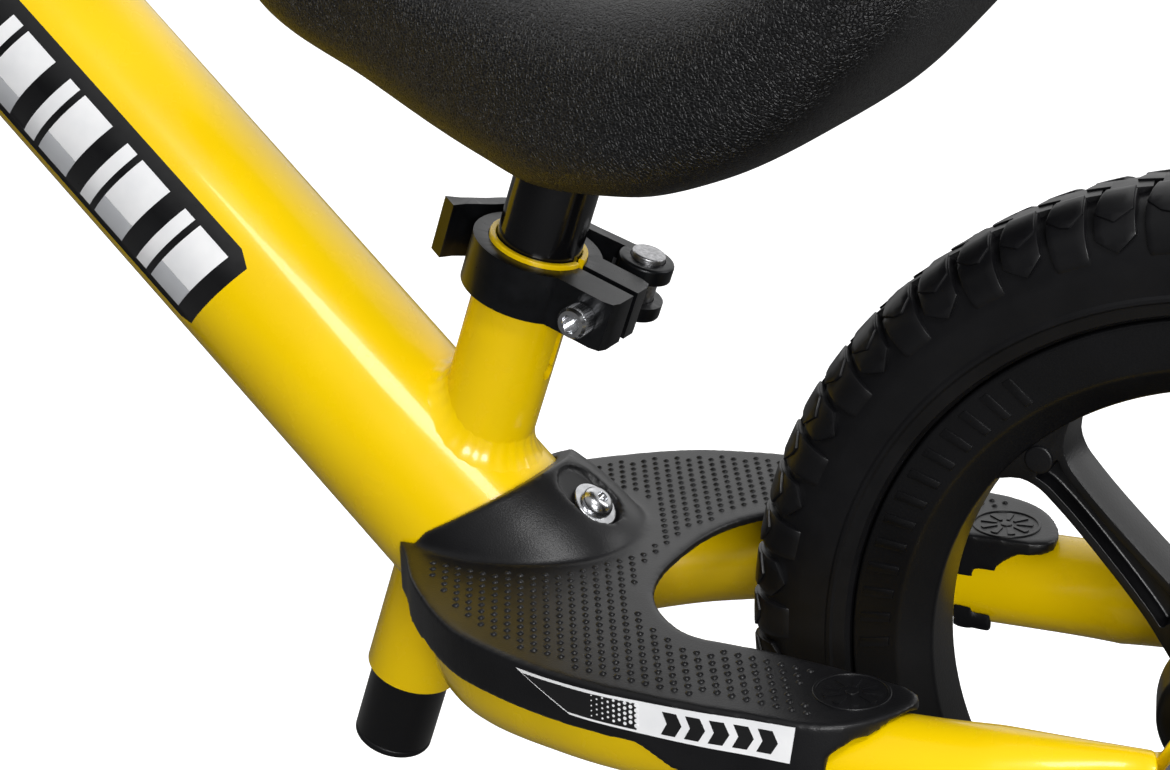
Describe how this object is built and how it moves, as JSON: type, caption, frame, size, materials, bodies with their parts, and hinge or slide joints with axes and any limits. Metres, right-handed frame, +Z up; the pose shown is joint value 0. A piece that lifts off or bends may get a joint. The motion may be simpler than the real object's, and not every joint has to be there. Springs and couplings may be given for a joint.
{
  "type": "balance bike",
  "caption": "Child's pedal-free balance bike: round-tube frame with bolted footrest, sliding saddle and handlebar in cam-lever collars, steering fork and foam-tyred wheels.",
  "frame": {"origin": "on the ground midway between the two axles, in the middle plane of the bike", "axes": "+X forwards along the bike, +Y to the rider's left, +Z up"},
  "size_m": [0.934, 0.4004, 0.5642],
  "materials": {
    "yellow_paint": "gloss yellow powder coat on steel tube",
    "black_paint": "gloss black powder coat on steel tube",
    "black_anodised": "black anodised, satin",
    "black_nylon": "moulded nylon, satin grain",
    "rim_nylon": "moulded nylon, satin",
    "tyre_foam": "moulded EVA foam, semi-matt",
    "saddle_skin": "moulded polyurethane with a leather grain",
    "pad_cover": "woven polyester cover on foam",
    "grip_rubber": "ribbed soft rubber",
    "zinc_steel": "bright zinc plate",
    "bare_steel": "turned steel"
  },
  "bodies": {
    "frame": {"main_tube": "yellow_paint", "seat_tube": "yellow_paint", "head_tube": "yellow_paint", "stay_left": "yellow_paint", "stay_right": "yellow_paint", "rear_dropout_left": "yellow_paint", "rear_dropout_right": "yellow_paint", "footrest": "black_nylon", "footrest_washer": "zinc_steel", "footrest_screw": "zinc_steel", "seat_clamp_collar": "black_anodised", "seat_clamp_bolt": "zinc_steel", "seat_clamp_washer": "black_anodised", "headset_lower_cup": "black_anodised", "headset_lower_bearing": "bare_steel", "headset_upper_bearing": "bare_steel", "headset_upper_cup": "black_anodised", "rear_axle": "zinc_steel", "rear_axle_nut_left": "zinc_steel", "rear_axle_nut_right": "zinc_steel", "rear_spacer_left": "bare_steel", "rear_spacer_right": "bare_steel", "seat_clamp_barrel": "bare_steel"},
    "seat_lever": {"seat_clamp_lever": "black_anodised"},
    "saddle": {"seat_post": "black_paint", "seat_post_plug": "black_nylon", "saddle_socket": "black_nylon", "saddle_pad": "saddle_skin"},
    "fork": {"fork_steerer": "black_paint", "fork_crown": "black_paint", "fork_leg_left": "black_paint", "fork_leg_right": "black_paint", "fork_dropout_left": "black_paint", "fork_dropout_right": "black_paint", "headset_crown_race": "bare_steel", "headset_locknut": "black_anodised", "bar_clamp_collar": "black_anodised", "bar_clamp_bolt": "zinc_steel", "bar_clamp_washer": "black_anodised", "front_axle": "zinc_steel", "front_axle_nut_left": "zinc_steel", "front_axle_nut_right": "zinc_steel", "front_spacer_left": "bare_steel", "front_spacer_right": "bare_steel", "bar_clamp_barrel": "bare_steel"},
    "bar_lever": {"bar_clamp_lever": "black_anodised"},
    "handlebar": {"bar_post": "black_paint", "bar_tube": "black_paint", "crossbar": "black_paint", "bar_pad": "pad_cover", "grip_left": "grip_rubber", "grip_right": "grip_rubber"},
    "rear_wheel": {"rear_tyre": "tyre_foam", "rear_rim": "rim_nylon", "rear_bearing_left": "bare_steel", "rear_bearing_right": "bare_steel"},
    "front_wheel": {"front_tyre": "tyre_foam", "front_rim": "rim_nylon", "front_bearing_left": "bare_steel", "front_bearing_right": "bare_steel"}
  },
  "joints": [
    {"name": "rear_wheel_spin", "type": "hinge", "parent": "frame", "child": "rear_wheel", "pos_m": [-0.318, 0, 0.149], "axis": [0, 1, 0], "continuous": true},
    {"name": "front_wheel_spin", "type": "hinge", "parent": "fork", "child": "front_wheel", "pos_m": [0.318, 0, 0.149], "axis": [0, 1, 0], "continuous": true},
    {"name": "steering", "type": "hinge", "parent": "frame", "child": "fork", "pos_m": [0.30409, 0, 0.14338], "axis": [-0.3746, 0, 0.9272], "continuous": true},
    {"name": "seat_height", "type": "slide", "parent": "frame", "child": "saddle", "axis": [-0.3267, 0, 0.9451], "range_m": [-0.012, 0.08]},
    {"name": "bar_height", "type": "slide", "parent": "fork", "child": "handlebar", "axis": [-0.3746, 0, 0.9272], "range_m": [-0.02, 0.07]},
    {"name": "seat_lever_swing", "type": "hinge", "parent": "frame", "child": "seat_lever", "pos_m": [-0.11339, -0.0245, 0.23357], "axis": [-0.3267, 0, 0.9451], "range_deg": [-150, 0]},
    {"name": "bar_lever_swing", "type": "hinge", "parent": "fork", "child": "bar_lever", "pos_m": [0.15263, -0.0245, 0.44673], "axis": [-0.3746, 0, 0.9272], "range_deg": [-150, 0]}
  ]
}
